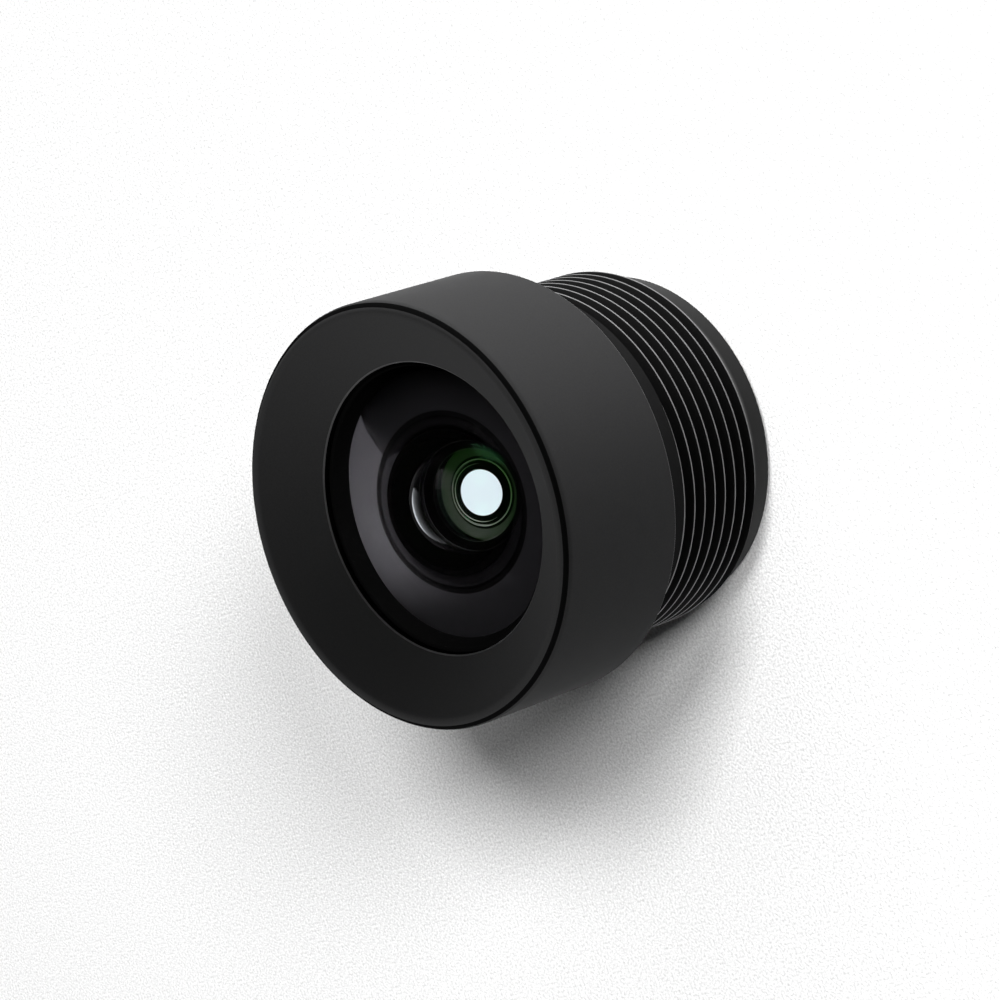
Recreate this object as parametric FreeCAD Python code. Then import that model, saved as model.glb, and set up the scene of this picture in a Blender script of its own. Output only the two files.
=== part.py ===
import FreeCAD, Part
import math
import os

# Board camera lens with an M12 x 0.5 outer thread, fixed focus, six glass elements.
# It stands on its rear end: z = 0 is the rear end face and +Z is the optical axis towards the scene.
# Every place along the axis is worked out as a depth, counted from the front rim backwards.

os.makedirs("parts", exist_ok=True)

# Outside of the barrel, millimetres
head_diameter = 13.9
head_length = 5.2
rim_round = 0.3
rim_flats = 4
head_rear_chamfer = 0.12
thread_diameter = 11.95
thread_chamfer = 0.18
rear_barrel_diameter = 11.1
rear_barrel_length = 1.25
rear_chamfer = 0.25

# Sunk cone of the head and the bores behind it
recess_diameter = 9.5
recess_depth = 1.27
seal_shoulder_width = 1.15
stack_step_width = 0.4

# Fits on the radius, and gaps along the axis
lens_fit = 0.02
ring_fit = 0.02
glass_seat_gap = 0.02
shoulder_gap = 0.02
dome_clearance = 0.1
blank_margin = 0.1

# Ring over the rim of the front glass
ring_setback = 0.23
ring_face_width = 0.13
ring_overlap = 0.36

# Front glass, a deep meniscus
element_1_vertex_depth = 0.36
element_1_front_radius = 6.5
element_1_thickness = 1.24
element_1_mouth_radius = 2.27
element_1_hollow_depth = 1.74
element_1_edge_bevel = 0.12

# The other glasses: thickness on the axis, surface radii, half width of each curved face
element_2_thickness = 0.6
element_2_rear_radius = 5.25
element_2_mouth_radius = 2.1

element_3_thickness = 1.3
element_3_front_radius = 2.9
element_3_dome_radius = 1.95

element_4_thickness = 0.8
element_4_front_radius = 14.0
element_4_rear_radius = 9.0
element_4_dome_radius = 1.9

element_5_thickness = 0.5
element_5_front_radius = 3.2
element_5_mouth_radius = 1.75
element_5_rear_radius = 6.5
element_5_dome_radius = 1.9

element_6_thickness = 1.08
element_6_front_radius = 5.2
element_6_rear_radius = 5.6
element_6_dome_radius = 2.0

# Rings and films between the glasses
front_spacer_thickness = 0.2
front_spacer_setback = 0.28
front_shield_setback = 0.1
light_shield_thickness = 0.05
grooved_spacer_thickness = 0.9
groove_count = 4
groove_depth = 0.25
stop_thickness = 0.24
stop_edge_thickness = 0.04
stop_mouth_diameter = 3.1
stop_diameter = 2.0
stop_spacer_thickness = 0.39
shim_thickness = 0.05
rear_spacer_thickness = 0.83

# Seal in its groove under the front glass
seal_section = 0.4
seal_flats = 6
seal_groove_width = 0.5

# Rear lip, filter window and the ring behind it
rear_lip_thickness = 0.8
filter_diameter = 7.1
filter_thickness = 0.3
rear_ring_thickness = 0.75
rear_ring_overlap = 0.75
rear_ring_chamfer = 0.15
rear_ring_recess = 0.6
slot_width = 0.8
slot_depth = 0.35


def sag(radius, half_width):
    """Height of a spherical cap with this surface radius over this half width."""
    return radius - math.sqrt(radius * radius - half_width * half_width)


# Stations along the axis, each a depth behind the front rim
element_1_rear_vertex = element_1_vertex_depth + element_1_thickness
element_1_land = element_1_rear_vertex + element_1_hollow_depth
front_shield_station = element_1_land + front_spacer_thickness
element_2_station = front_shield_station + light_shield_thickness
element_2_rear_vertex = element_2_station + element_2_thickness
element_2_land = element_2_rear_vertex + sag(element_2_rear_radius, element_2_mouth_radius)
element_3_land = element_2_land + grooved_spacer_thickness
element_3_vertex = element_3_land - sag(element_3_front_radius, element_3_dome_radius)
stop_station = element_3_vertex + element_3_thickness
stop_rear = stop_station + stop_thickness
element_4_land = stop_rear + stop_spacer_thickness
element_4_vertex = element_4_land - sag(element_4_front_radius, element_4_dome_radius)
element_4_rear_vertex = element_4_vertex + element_4_thickness
element_4_rear_land = element_4_rear_vertex - sag(element_4_rear_radius, element_4_dome_radius)
element_5_land = element_4_rear_land + shim_thickness
element_5_vertex = element_5_land + sag(element_5_front_radius, element_5_mouth_radius)
element_5_rear_vertex = element_5_vertex + element_5_thickness
element_5_rear_land = element_5_rear_vertex - sag(element_5_rear_radius, element_5_dome_radius)
rear_spacer_station = element_5_rear_land + light_shield_thickness
element_6_land = rear_spacer_station + rear_spacer_thickness
element_6_vertex = element_6_land - sag(element_6_front_radius, element_6_dome_radius)
element_6_rear_vertex = element_6_vertex + element_6_thickness
element_6_rear_land = element_6_rear_vertex - sag(element_6_rear_radius, element_6_dome_radius)
filter_station = element_6_rear_land + rear_lip_thickness
rear_ring_station = filter_station + filter_thickness
rear_ring_end = rear_ring_station + rear_ring_thickness
overall_length = rear_ring_end + rear_ring_recess
thread_end = overall_length - rear_barrel_length
barrel_shoulder = element_1_land + shoulder_gap
stack_step = stop_rear + shoulder_gap

# Radii of the bores, and of what slides into them
front_bore_radius = recess_diameter / 2
front_stack_radius = front_bore_radius - seal_shoulder_width
rear_stack_radius = front_stack_radius - stack_step_width
rear_bore_radius = filter_diameter / 2 + lens_fit
element_1_radius = front_bore_radius - lens_fit
front_glass_radius = front_stack_radius - lens_fit
rear_glass_radius = rear_stack_radius - lens_fit


def spot(radius, depth):
    """Point of a half section, at a radius from the axis and a depth behind the front rim."""
    return FreeCAD.Vector(radius, 0, overall_length - depth)


def chain(*places):
    """Straight edges through places given as (radius, depth)."""
    spots = [spot(*place) for place in places]
    return [Part.makeLine(a, b) for a, b in zip(spots, spots[1:])]


def turned(edges):
    """Solid of revolution about the optical axis from a closed run of edges."""
    face = Part.Face(Part.Wire(Part.sortEdges(edges)[0]))
    return face.revolve(FreeCAD.Vector(0, 0, 0), FreeCAD.Vector(0, 0, 1), 360)


def washer(outer, bore, front, thickness):
    rear = front + thickness
    return turned(chain((bore, front), (outer, front), (outer, rear), (bore, rear), (bore, front)))


def disc(radius, front, rear):
    return Part.makeCylinder(radius, rear - front, spot(0, rear))


def ball(radius, vertex, way):
    """Ball that crosses the axis at the vertex; way is 1 where its centre lies behind the vertex, else -1."""
    # It lies on its side, which keeps its poles and its seam off the lens face that it shapes.
    solid = Part.makeSphere(radius)
    solid.rotate(FreeCAD.Vector(0, 0, 0), FreeCAD.Vector(0, 1, 0), 90 * way)
    solid.translate(spot(0, vertex + way * radius))
    return solid


def dome(vertex, radius, half_width, way):
    """Cap of a glass on a short root that sinks into its disc; way as for the ball."""
    tip = vertex - way * blank_margin
    root = vertex + way * (sag(radius, half_width) + blank_margin)
    plug = disc(half_width, min(tip, root), max(tip, root))
    return plug.common(ball(radius, vertex, way))


def lens_barrel():
    """One turned piece: head with its sunk cone, thread land, rear barrel and the stepped bore."""
    head_radius = head_diameter / 2
    round_centre = head_radius - rim_round
    # The cone runs from the mouth of the recess to where it touches the round of the rim.
    run = round_centre - front_bore_radius
    rise = recess_depth - rim_round
    lean = math.atan2(rise, run) + math.asin(rim_round / math.hypot(run, rise))

    # Narrow flats stand for the round, each within a hundredth of a millimetre of it.
    turn = (lean + math.pi / 2) / rim_flats
    angles = [step * turn - lean for step in range(rim_flats + 1)]
    rim = [(round_centre + rim_round * math.sin(angle), rim_round * (1 - math.cos(angle))) for angle in angles]

    # The neck in front of the thread has the same diameter as the thread, so both are one wall.
    thread_radius = thread_diameter / 2
    rear_radius = rear_barrel_diameter / 2
    lip_radius = element_6_dome_radius + dome_clearance
    outside = chain(*rim,
                    (head_radius, head_length - head_rear_chamfer),
                    (head_radius - head_rear_chamfer, head_length),
                    (thread_radius, head_length),
                    (thread_radius, thread_end - thread_chamfer),
                    (thread_radius - thread_chamfer, thread_end),
                    (rear_radius, thread_end),
                    (rear_radius, overall_length - rear_chamfer),
                    (rear_radius - rear_chamfer, overall_length))
    inside = chain((rear_radius - rear_chamfer, overall_length),
                   (rear_bore_radius, overall_length),
                   (rear_bore_radius, filter_station),
                   (lip_radius, filter_station),
                   (lip_radius, element_6_rear_land),
                   (rear_stack_radius, element_6_rear_land),
                   (rear_stack_radius, stack_step),
                   (front_stack_radius, stack_step),
                   (front_stack_radius, barrel_shoulder),
                   (front_bore_radius, barrel_shoulder),
                   (front_bore_radius, recess_depth),
                   rim[0])
    body = turned(outside + inside)
    groove = washer(seal_centre_radius() + seal_groove_width / 2, seal_centre_radius() - seal_groove_width / 2,
                    barrel_shoulder, seal_section - shoulder_gap)
    return body.cut(groove)


def seal_centre_radius():
    return (front_bore_radius + front_stack_radius) / 2


def front_o_ring():
    """Rubber ring squeezed into its groove, with flats where it bears on the metal and on the glass."""
    centre = element_1_land + seal_section / 2
    corner = seal_section / 2 / math.cos(math.pi / seal_flats)
    places = []
    for step in range(seal_flats + 1):
        angle = 2 * math.pi * step / seal_flats
        places.append((seal_centre_radius() + corner * math.cos(angle), centre + corner * math.sin(angle)))
    return turned(chain(*places))


def front_retaining_ring():
    """Threaded ring on the rim of the front glass, its rear face rounded to the glass."""
    outer = front_bore_radius - ring_fit
    inner = front_bore_radius - ring_fit - ring_overlap
    front = recess_depth + ring_setback
    seat_radius = element_1_front_radius + glass_seat_gap
    touch = element_1_vertex_depth - glass_seat_gap + sag(seat_radius, inner)
    blank = turned(chain((outer - ring_face_width, front), (outer, front), (outer, element_1_land),
                         (inner, element_1_land), (inner, touch), (outer - ring_face_width, front)))
    return blank.cut(Part.makeSphere(seat_radius, spot(0, element_1_vertex_depth + element_1_front_radius)))


def element_1():
    """Front meniscus: large convex face, deep hollow at the back with a flat land round it."""
    crown = element_1_radius - element_1_edge_bevel
    crown_depth = element_1_vertex_depth + sag(element_1_front_radius, crown)
    blank_front = element_1_vertex_depth - blank_margin
    blank = turned(chain((0, blank_front), (crown, blank_front), (crown, crown_depth),
                         (element_1_radius, crown_depth + 2 * element_1_edge_bevel),
                         (element_1_radius, element_1_land), (0, element_1_land), (0, blank_front)))
    hollow_radius = (element_1_mouth_radius ** 2 + element_1_hollow_depth ** 2) / (2 * element_1_hollow_depth)
    ground = blank.common(ball(element_1_front_radius, element_1_vertex_depth, 1))
    return ground.cut(ball(hollow_radius, element_1_rear_vertex, 1))


def element_2():
    """Flat front, hollow back."""
    blank = disc(front_glass_radius, element_2_station, element_2_land)
    return blank.cut(ball(element_2_rear_radius, element_2_rear_vertex, 1))


def element_3():
    """Strong dome towards the front, flat back on the stop."""
    front = dome(element_3_vertex, element_3_front_radius, element_3_dome_radius, 1)
    return disc(front_glass_radius, element_3_land, stop_station).fuse(front)


def element_4():
    """Weak glass, domed on both faces."""
    front = dome(element_4_vertex, element_4_front_radius, element_4_dome_radius, 1)
    rear = dome(element_4_rear_vertex, element_4_rear_radius, element_4_dome_radius, -1)
    return disc(rear_glass_radius, element_4_land, element_4_rear_land).fuse([front, rear])


def element_5():
    """Negative meniscus, hollow towards the stop and domed at the back."""
    rear = dome(element_5_rear_vertex, element_5_rear_radius, element_5_dome_radius, -1)
    blank = disc(rear_glass_radius, element_5_land, element_5_rear_land).fuse(rear)
    return blank.cut(ball(element_5_front_radius, element_5_vertex, -1))


def element_6():
    """Last glass, domed on both faces; its rear dome reaches into the rear lip of the barrel."""
    front = dome(element_6_vertex, element_6_front_radius, element_6_dome_radius, 1)
    rear = dome(element_6_rear_vertex, element_6_rear_radius, element_6_dome_radius, -1)
    return disc(rear_glass_radius, element_6_land, element_6_rear_land).fuse([front, rear])


def grooved_spacer():
    """Ring between elements 2 and 3, with V grooves in its bore that catch stray light."""
    bore = element_3_dome_radius + dome_clearance
    pitch = grooved_spacer_thickness / groove_count
    places = [(bore, element_2_land), (front_glass_radius, element_2_land),
              (front_glass_radius, element_3_land), (bore, element_3_land)]
    for turn in range(groove_count):
        start = element_3_land - turn * pitch
        places.append((bore + groove_depth, start - pitch / 2))
        places.append((bore, start - pitch))
    return turned(chain(*places))


def aperture_stop():
    """Turned ring with a cone that narrows to the thin edge of the light hole."""
    hole = stop_diameter / 2
    mouth = stop_mouth_diameter / 2
    return turned(chain((mouth, stop_station), (front_glass_radius, stop_station),
                        (front_glass_radius, stop_rear), (hole, stop_rear),
                        (hole, stop_rear - stop_edge_thickness), (mouth, stop_station)))


def ir_cut_filter():
    return disc(filter_diameter / 2, filter_station, rear_ring_station)


def rear_retaining_ring():
    """Threaded ring behind the filter, with a chamfered bore and two slots for a pin spanner."""
    outer = rear_bore_radius - ring_fit
    bore = filter_diameter / 2 - rear_ring_overlap
    ring = turned(chain((bore, rear_ring_station), (outer, rear_ring_station), (outer, rear_ring_end),
                        (bore + rear_ring_chamfer, rear_ring_end), (bore, rear_ring_end - rear_ring_chamfer),
                        (bore, rear_ring_station)))
    corner = spot(-rear_bore_radius, rear_ring_end) - FreeCAD.Vector(0, slot_width / 2, 0)
    return ring.cut(Part.makeBox(2 * rear_bore_radius, slot_width, slot_depth, corner))


def front_spacer():
    bore = element_1_mouth_radius + front_spacer_setback
    return washer(front_glass_radius, bore, element_1_land, front_spacer_thickness)


def front_light_shield():
    bore = element_1_mouth_radius + front_shield_setback
    return washer(front_glass_radius, bore, front_shield_station, light_shield_thickness)


def stop_spacer():
    return washer(rear_glass_radius, element_4_dome_radius + dome_clearance, stop_rear, stop_spacer_thickness)


def shim_ring():
    return washer(rear_glass_radius, element_4_dome_radius + dome_clearance, element_4_rear_land, shim_thickness)


def rear_light_shield():
    bore = element_5_dome_radius + dome_clearance
    return washer(rear_glass_radius, bore, element_5_rear_land, light_shield_thickness)


def rear_spacer():
    bore = max(element_5_dome_radius, element_6_dome_radius) + dome_clearance
    return washer(rear_glass_radius, bore, rear_spacer_station, rear_spacer_thickness)


makers = [lens_barrel, front_retaining_ring, front_o_ring, element_1, front_spacer, front_light_shield,
          element_2, grooved_spacer, element_3, aperture_stop, stop_spacer, element_4, shim_ring, element_5,
          rear_light_shield, rear_spacer, element_6, ir_cut_filter, rear_retaining_ring]

for maker in makers:
    piece = maker()
    piece.exportStep("parts/" + maker.__name__ + ".step")
    print(maker.__name__, "solids", len(piece.Solids), "volume %.3f" % piece.Volume)
print("overall length %.3f" % overall_length)
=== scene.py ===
# %% [markdown]
# # Looks of a small board camera lens
#
# A lens of this kind screws into a holder on a camera board. Its black barrel is turned from aluminium rod, and six
# small glasses drop into it one after another. This lesson dresses the measured construction: it turns each piece
# finely, cuts the outer thread, gives the metal and the glass their surfaces, and lights them as in a small studio.

# %% Start from the measured construction
import math

import bmesh
import bpy
import numpy as np
from mathutils import Matrix, Vector


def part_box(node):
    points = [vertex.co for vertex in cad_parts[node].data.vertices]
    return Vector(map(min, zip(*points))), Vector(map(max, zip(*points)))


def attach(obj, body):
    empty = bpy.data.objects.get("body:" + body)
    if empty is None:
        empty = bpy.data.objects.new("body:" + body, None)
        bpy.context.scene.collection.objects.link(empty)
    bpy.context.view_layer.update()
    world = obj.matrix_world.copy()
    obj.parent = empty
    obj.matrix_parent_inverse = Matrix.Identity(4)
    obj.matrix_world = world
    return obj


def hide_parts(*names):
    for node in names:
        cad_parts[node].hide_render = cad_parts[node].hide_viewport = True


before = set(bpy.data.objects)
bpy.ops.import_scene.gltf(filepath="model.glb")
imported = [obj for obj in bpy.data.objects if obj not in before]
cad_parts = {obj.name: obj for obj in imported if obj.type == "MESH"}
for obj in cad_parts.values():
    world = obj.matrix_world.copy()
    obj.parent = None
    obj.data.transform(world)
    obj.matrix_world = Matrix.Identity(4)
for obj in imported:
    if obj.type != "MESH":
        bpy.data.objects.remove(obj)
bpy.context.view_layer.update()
MM = 0.001
scene = bpy.context.scene
print("construction loaded:", len(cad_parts), "pieces")

# %% [markdown]
# ## Where the pieces sit
#
# On the real lens every ring and glass stacks on the one below it, so one face fixes the next. The heights and the
# outer radius of each piece are read from the construction here, which keeps the finer pieces on the same seats. What
# these don't tell, such as a bore or a chamfer, is given in millimetres in the cell that needs it.

# %% Read the seats of the pieces
def front_of(piece):
    """Height of the face nearest the subject, in millimetres."""
    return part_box(piece)[1].z / MM


def rear_of(piece):
    """Height of the face nearest the camera board, in millimetres."""
    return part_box(piece)[0].z / MM


def radius_of(piece):
    """Outer radius, in millimetres."""
    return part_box(piece)[1].x / MM


total_length = front_of("lens_barrel")
head_radius = radius_of("lens_barrel")
front_stack_radius = radius_of("element_2")
rear_stack_radius = radius_of("element_6")
print("length %.2f mm, head radius %.2f mm" % (total_length, head_radius))

# %% [markdown]
# ## The camera
#
# In the photograph the circles of the head stay true ellipses, as they do from far away with a long lens, so the
# camera has a long lens too. There the object lies on its side. Here it stands on its rear end, so the camera is
# rolled to show the same face in the same place. Its three axes are written out, because a rolled camera is easier to
# set by the directions of the picture than by angles.

# %% Place the camera
camera_data = bpy.data.cameras.new("studio_camera")
camera = bpy.data.objects.new("studio_camera", camera_data)
scene.collection.objects.link(camera)
camera_data.sensor_width = 36.0
camera_data.lens = 158.3
camera_data.clip_start = 0.01
camera_data.clip_end = 5.0
image_right = Vector((-0.3167, -0.6639, -0.6775))
image_up = Vector((0.9486, -0.2217, -0.2262))
towards_viewer = image_right.cross(image_up)
camera.matrix_world = Matrix((
    (image_right.x, image_up.x, towards_viewer.x, -0.419 * MM),
    (image_right.y, image_up.y, towards_viewer.y, -101.01 * MM),
    (image_right.z, image_up.z, towards_viewer.z, 106.25 * MM),
    (0, 0, 0, 1),
))
scene.camera = camera
print("camera stands", round(camera.location.length / MM), "mm away")

# %% [markdown]
# ## Rounded corners
#
# A real tool never leaves a perfectly sharp edge, and it is the small round that catches the light. A bevel modifier
# could make it, but the corners are rounded in the outline instead, before the piece is turned: each corner can have
# a size of its own, and the faces stay even all the way round.

# %% Round the corners of an outline
def rounded(places, steps=5):
    """Outline with its corners rounded; a place is (radius, height) or (radius, height, round)."""
    points = [Vector(place[:2]) for place in places]
    rounds = [place[2] if len(place) > 2 else 0.0 for place in places]
    outline = [points[0]]
    for before, corner, after, size in zip(points, points[1:], points[2:], rounds[1:]):
        if size <= 0:
            outline.append(corner)
            continue
        back, ahead = (before - corner), (after - corner)
        half = back.angle(ahead) / 2
        reach = min(size / math.tan(half), 0.49 * back.length, 0.49 * ahead.length)
        size = reach * math.tan(half)
        centre = corner + (back.normalized() + ahead.normalized()).normalized() * (size / math.sin(half))
        first = corner + back.normalized() * reach - centre
        last = corner + ahead.normalized() * reach - centre
        opening = first.angle(last)
        for step in range(steps + 1):
            part = step / steps
            spoke = (first * math.sin((1 - part) * opening) + last * math.sin(part * opening)) / math.sin(opening)
            outline.append(centre + spoke)
    outline.append(points[-1])
    return [(point.x, point.y) for point in outline]


print("a rounded corner has", len(rounded([(0, 0), (1, 0, 0.1), (1, 1)])) - 2, "places")

# %% [markdown]
# ## A mesh of rings
#
# Nearly every piece comes off a lathe. A Screw or Spin tool could sweep its outline, but the thread needs rings that
# climb as they go round. So the mesh is built from two arrays, the radius and the height of every point, and the same
# helper makes plain rings and the helix. Each row of faces can have a material of its own.

# %% Build a mesh from rings of points
SHARP_FROM = math.radians(24)


def skin(name, radii, heights, skins=None):
    """Mesh over rings of points; row by row the rings follow the outline, column by column they go round."""
    rows, columns = radii.shape
    around = np.linspace(0, 2 * math.pi, columns)
    spots = np.stack([radii * np.cos(around), radii * np.sin(around), heights], axis=-1) * MM
    index = np.arange(rows * columns).reshape(rows, columns)
    quads = np.stack([index[:-1, :-1], index[:-1, 1:], index[1:, 1:], index[1:, :-1]], axis=-1)
    mesh = bpy.data.meshes.new(name)
    mesh.from_pydata(spots.reshape(-1, 3).tolist(), [], quads.reshape(-1, 4).tolist())
    if skins is not None:
        mesh.polygons.foreach_set("material_index", np.repeat(np.array(skins, dtype=np.int32), columns - 1))
    work = bmesh.new()
    work.from_mesh(mesh)
    bmesh.ops.remove_doubles(work, verts=work.verts, dist=2e-8)
    bmesh.ops.recalc_face_normals(work, faces=work.faces)
    work.to_mesh(mesh)
    work.free()
    mesh.shade_smooth()
    mesh.set_sharp_from_angle(angle=SHARP_FROM)
    made = bpy.data.objects.new(name, mesh)
    scene.collection.objects.link(made)
    return made


print("edges stay sharp from", round(math.degrees(SHARP_FROM)), "degrees")

# %% [markdown]
# ## Turning a piece and putting it in place
#
# On the lathe one outline holds at every angle, so a turned piece repeats it all the way round. The finished piece
# then takes the place of the plain one and moves with the root body.

# %% Turn a piece and put it in place
SEGMENTS = 360


def rings(outline):
    """The same outline at every angle, as the two arrays that skin takes."""
    section = np.array(outline)
    whole = np.ones(SEGMENTS + 1)
    return section[:, :1] * whole, section[:, 1:] * whole


def turned(name, outline, skins=None):
    return skin(name, *rings(outline), skins)


def fit_in(made, piece, slot, *materials):
    """Puts a finished piece in the place of the plain one."""
    for material in materials:
        made.data.materials.append(material)
    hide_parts(piece)
    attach(made, "root")
    print(made.name, "faces", len(made.data.polygons))
    return made


print("a turned piece has", SEGMENTS, "faces round the axis")

# %% [markdown]
# ## Wiring a surface
#
# A finish is a small net of nodes. These helpers add a node, fill its sockets, and make the parts that come back in
# nearly every finish: a fine grain, a value or a colour that varies with it, and a relief. The grain is counted in
# millimetres in the piece's own space, so it doesn't slide when the view changes.

# %% Helpers for the nodes
def fill(tree, node, sockets):
    """Gives each socket a plain value, or links it to the output of another node."""
    for socket, value in sockets.items():
        if isinstance(value, bpy.types.NodeSocket):
            tree.links.new(value, node.inputs[socket])
        else:
            node.inputs[socket].default_value = value
    return node


def add(tree, kind, sockets, **settings):
    """New node of this kind with its settings and its sockets filled."""
    node = tree.nodes.new(kind)
    for setting, value in settings.items():
        setattr(node, setting, value)
    return fill(tree, node, sockets)


def new_material(name):
    material = bpy.data.materials.new(name)
    material.use_nodes = True
    tree = material.node_tree
    return material, tree, tree.nodes["Principled BSDF"]


def grain(tree, size, detail=3.0):
    """Fine noise in the piece's own space; size is the width of a grain in millimetres."""
    place = add(tree, "ShaderNodeTexCoord", {})
    noise = add(tree, "ShaderNodeTexNoise", {
        "Vector": place.outputs["Object"], "Scale": 1 / (size * MM), "Detail": detail})
    return noise.outputs["Fac"]


def spread(tree, value, low, high):
    """Maps a noise, which mostly lies between 0.3 and 0.7, to the range from low to high."""
    ranged = add(tree, "ShaderNodeMapRange", {
        "Value": value, "From Min": 0.3, "From Max": 0.7, "To Min": low, "To Max": high})
    return ranged.outputs["Result"]


def blend_colours(tree, value, first, second):
    """Colour between two, as the value goes from 0 to 1."""
    mixed = add(tree, "ShaderNodeMix", {0: value, 6: (*first, 1), 7: (*second, 1)}, data_type="RGBA")
    return mixed.outputs[2]


def bump(tree, value, height):
    """Surface relief; height is in millimetres."""
    relief = add(tree, "ShaderNodeBump", {"Height": value, "Strength": 1.0, "Distance": height * MM})
    return relief.outputs["Normal"]


print("helpers for nodes ready")

# %% [markdown]
# ## Blasted and anodised black
#
# The head and the rings are blasted and then anodised black. The blasting leaves a soft and slightly grainy sheen
# without a sharp mirror image. A picture of the grain could be laid over the piece, but a noise needs no unwrapping
# and is as fine on every face. It varies the colour and the relief, and a broader noise varies the roughness.

# %% Blasted black
BLAST_GRAIN = 0.05
PATCH_WIDTH = 1.5


def blasted_black(name, tone, roughness, gloss=0.2, relief=0.0012):
    """Anodised black with a fine blasted grain; gloss is the specular level: 0 mirrors nothing and 0.5 is plain."""
    material, tree, surface = new_material(name)
    fine, broad = grain(tree, BLAST_GRAIN), grain(tree, PATCH_WIDTH, 2.0)
    dark = (tone * 0.85, tone * 0.85, tone * 0.86)
    pale = (tone * 1.15, tone * 1.15, tone * 1.17)
    fill(tree, surface, {
        "Base Color": blend_colours(tree, fine, dark, pale),
        "Roughness": spread(tree, broad, roughness - 0.02, roughness + 0.02),
        "Specular IOR Level": gloss,
        "Normal": bump(tree, fine, relief),
    })
    return material


barrel_black = blasted_black("blasted_barrel", 0.036, 0.42, gloss=0.004)
# Painted shade: the flanks and roots of the thread get a darker black, as shade in the grooves.
thread_shade_black = blasted_black("thread_painted_shade", 0.009, 0.4, gloss=0.05, relief=0.0006)
# Painted shade: a very dark black for the bore and for dark lines round the rim and under the head.
deep_shade_black = blasted_black("deep_painted_shade", 0.004, 0.6, gloss=0.0)
print("made", barrel_black.name, thread_shade_black.name, deep_shade_black.name)

# %% [markdown]
# ## Painted highlights on edges
#
# A sharp edge catches the light, so a crest, a mouth or a step gets a thin pale line of painted highlight. An edge
# mask could find such places, but on turned pieces each edge is a row of faces of its own, and it simply gets the
# paler material. The front end of the rear barrel gets a painted highlight as well. There the pale colour fades into
# the dark painted shade with the height, so that no hard border shows.

# %% Painted highlights on edges
# Tone of the painted shade on the neck and the rear barrel; the collar's painted highlight fades into it.
SHADE_TONE = 0.014


def painted_highlight_edge(name, tone):
    """Pale colour along a sharp edge: a painted highlight."""
    material, tree, surface = new_material(name)
    edge_grain = grain(tree, 0.6)
    fill(tree, surface, {
        "Base Color": blend_colours(tree, edge_grain, (tone * 0.5,) * 3, (tone, tone, tone * 1.02)),
        "Roughness": spread(tree, edge_grain, 0.4, 0.3),
        "Specular IOR Level": 0.5,
    })
    return material


def fading_painted_highlight(name, tone, height, reach):
    """Pale painted highlight at one height, in millimetres, that fades into the painted shade within the reach
    below it.
    """
    material, tree, surface = new_material(name)
    place = add(tree, "ShaderNodeTexCoord", {})
    parts = add(tree, "ShaderNodeSeparateXYZ", {"Vector": place.outputs["Object"]})
    fall = add(tree, "ShaderNodeMapRange", {
        "Value": parts.outputs["Z"], "From Min": (height - reach) * MM, "From Max": height * MM,
    }, interpolation_type="SMOOTHERSTEP")
    fill(tree, surface, {
        "Base Color": blend_colours(tree, fall.outputs["Result"], (SHADE_TONE,) * 3, (tone,) * 3),
        "Roughness": spread(tree, grain(tree, BLAST_GRAIN), 0.38, 0.44),
        "Specular IOR Level": 0.1,
    })
    return material


# Painted highlights: pale lines on the crests of the thread and on the edges of the head.
crest_painted_highlight = painted_highlight_edge("crest_painted_highlight", 0.26)
edge_painted_highlight = painted_highlight_edge("edge_painted_highlight", 0.10)
# Painted highlight: a pale band at the front end of the rear barrel that fades towards the rear.
collar_painted_highlight = fading_painted_highlight("collar_painted_highlight", 0.13, 1.1, 0.3)
print("made", crest_painted_highlight.name, edge_painted_highlight.name, collar_painted_highlight.name)

# %% [markdown]
# ## Darker blacks, film and rubber
#
# The neck and the rear barrel get a darker black than the head, as painted shade. The rings inside are black and
# dull, so that no stray light comes back from them, and their black is made darker still as painted shade deep in the
# barrel. The turned steps of the light stop get a pale painted highlight. The films and the seal are plain black sheet
# and rubber. All are made by the helpers above, with other tones.

# %% Darker blacks, film and rubber
# Painted shade: the neck and the rear barrel get a darker black than the head.
painted_shade_black = blasted_black("neck_painted_shade", SHADE_TONE, 0.42, gloss=0.0)
# Painted shade: the rings get a black far darker than the barrel's coat, as shade in the deep recess and inside the
# barrel.
ring_black = blasted_black("ring_painted_shade", 0.0013, 0.55, gloss=0.0)
groove_black = blasted_black("groove_black", 0.024, 0.4, gloss=0.1)
# Painted highlight: pale edges on the turned steps of the light stop.
step_painted_highlight = painted_highlight_edge("step_painted_highlight", 0.36)
film_black = blasted_black("thin_film", 0.008, 0.6, gloss=0.1)
seal_black = blasted_black("moulded_seal", 0.01, 0.6)
print("made", painted_shade_black.name, ring_black.name, groove_black.name, step_painted_highlight.name, film_black.name,
      seal_black.name)

# %% [markdown]
# ## Coated glass
#
# Each glass has its own index, and a thin coating that takes most of the mirror image away and tints the rest green
# or magenta. The coating is a tint on the reflection only; what goes through stays clear. Rays that look for the lamps
# pass straight through, without bending, so the inner rings get their share of light with little noise.

# %% Coated glass
COAT_PATCH = 2.5
LAMP_SHARE = 0.92


def coated_glass(name, index, first_tint, second_tint, clear=(1.0, 1.0, 1.0)):
    """Glass of this index; its mirror image takes a tint between two, and what goes through takes the clear one."""
    material, tree, surface = new_material(name)
    thickness = grain(tree, COAT_PATCH, 1.0)
    fill(tree, surface, {
        "Base Color": (*clear, 1), "Roughness": 0.0, "IOR": index, "Transmission Weight": 1.0,
        "Specular Tint": blend_colours(tree, thickness, first_tint, second_tint),
    })
    path = add(tree, "ShaderNodeLightPath", {})
    through = add(tree, "ShaderNodeBsdfTransparent", {"Color": (LAMP_SHARE, LAMP_SHARE, LAMP_SHARE, 1)})
    mixed = add(tree, "ShaderNodeMixShader", {
        0: path.outputs["Is Shadow Ray"], 1: surface.outputs[0], 2: through.outputs[0]})
    fill(tree, tree.nodes["Material Output"], {"Surface": mixed.outputs[0]})
    return material


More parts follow.
